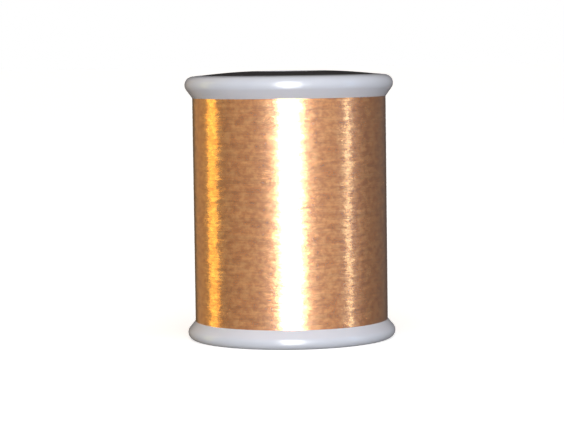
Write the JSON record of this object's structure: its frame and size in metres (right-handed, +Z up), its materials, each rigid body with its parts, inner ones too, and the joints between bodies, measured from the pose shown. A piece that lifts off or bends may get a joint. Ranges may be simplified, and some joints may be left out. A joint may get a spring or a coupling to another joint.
{
  "type": "spool of thread",
  "caption": "Small bead-rimmed plastic spool wound almost full with fine copper-coloured metallic thread, with a through hole for a spool pin.",
  "frame": {"origin": "centre of the bottom end face, where the spool stands", "axes": "+Z up the spool's axis and its pin hole; +Y points away from the side shown"},
  "size_m": [0.028, 0.028, 0.036],
  "materials": {
    "core_plastic": "satin",
    "white_plastic": "gloss",
    "metallic_thread": "gloss",
    "dark_label": "satin",
    "pale_label": "matte"
  },
  "bodies": {
    "root": {"barrel": "core_plastic", "pin_sleeve": "core_plastic", "top_flange": "white_plastic", "bottom_flange": "white_plastic", "thread_winding": "metallic_thread", "top_label": "dark_label", "bottom_label": "pale_label"}
  },
  "joints": []
}
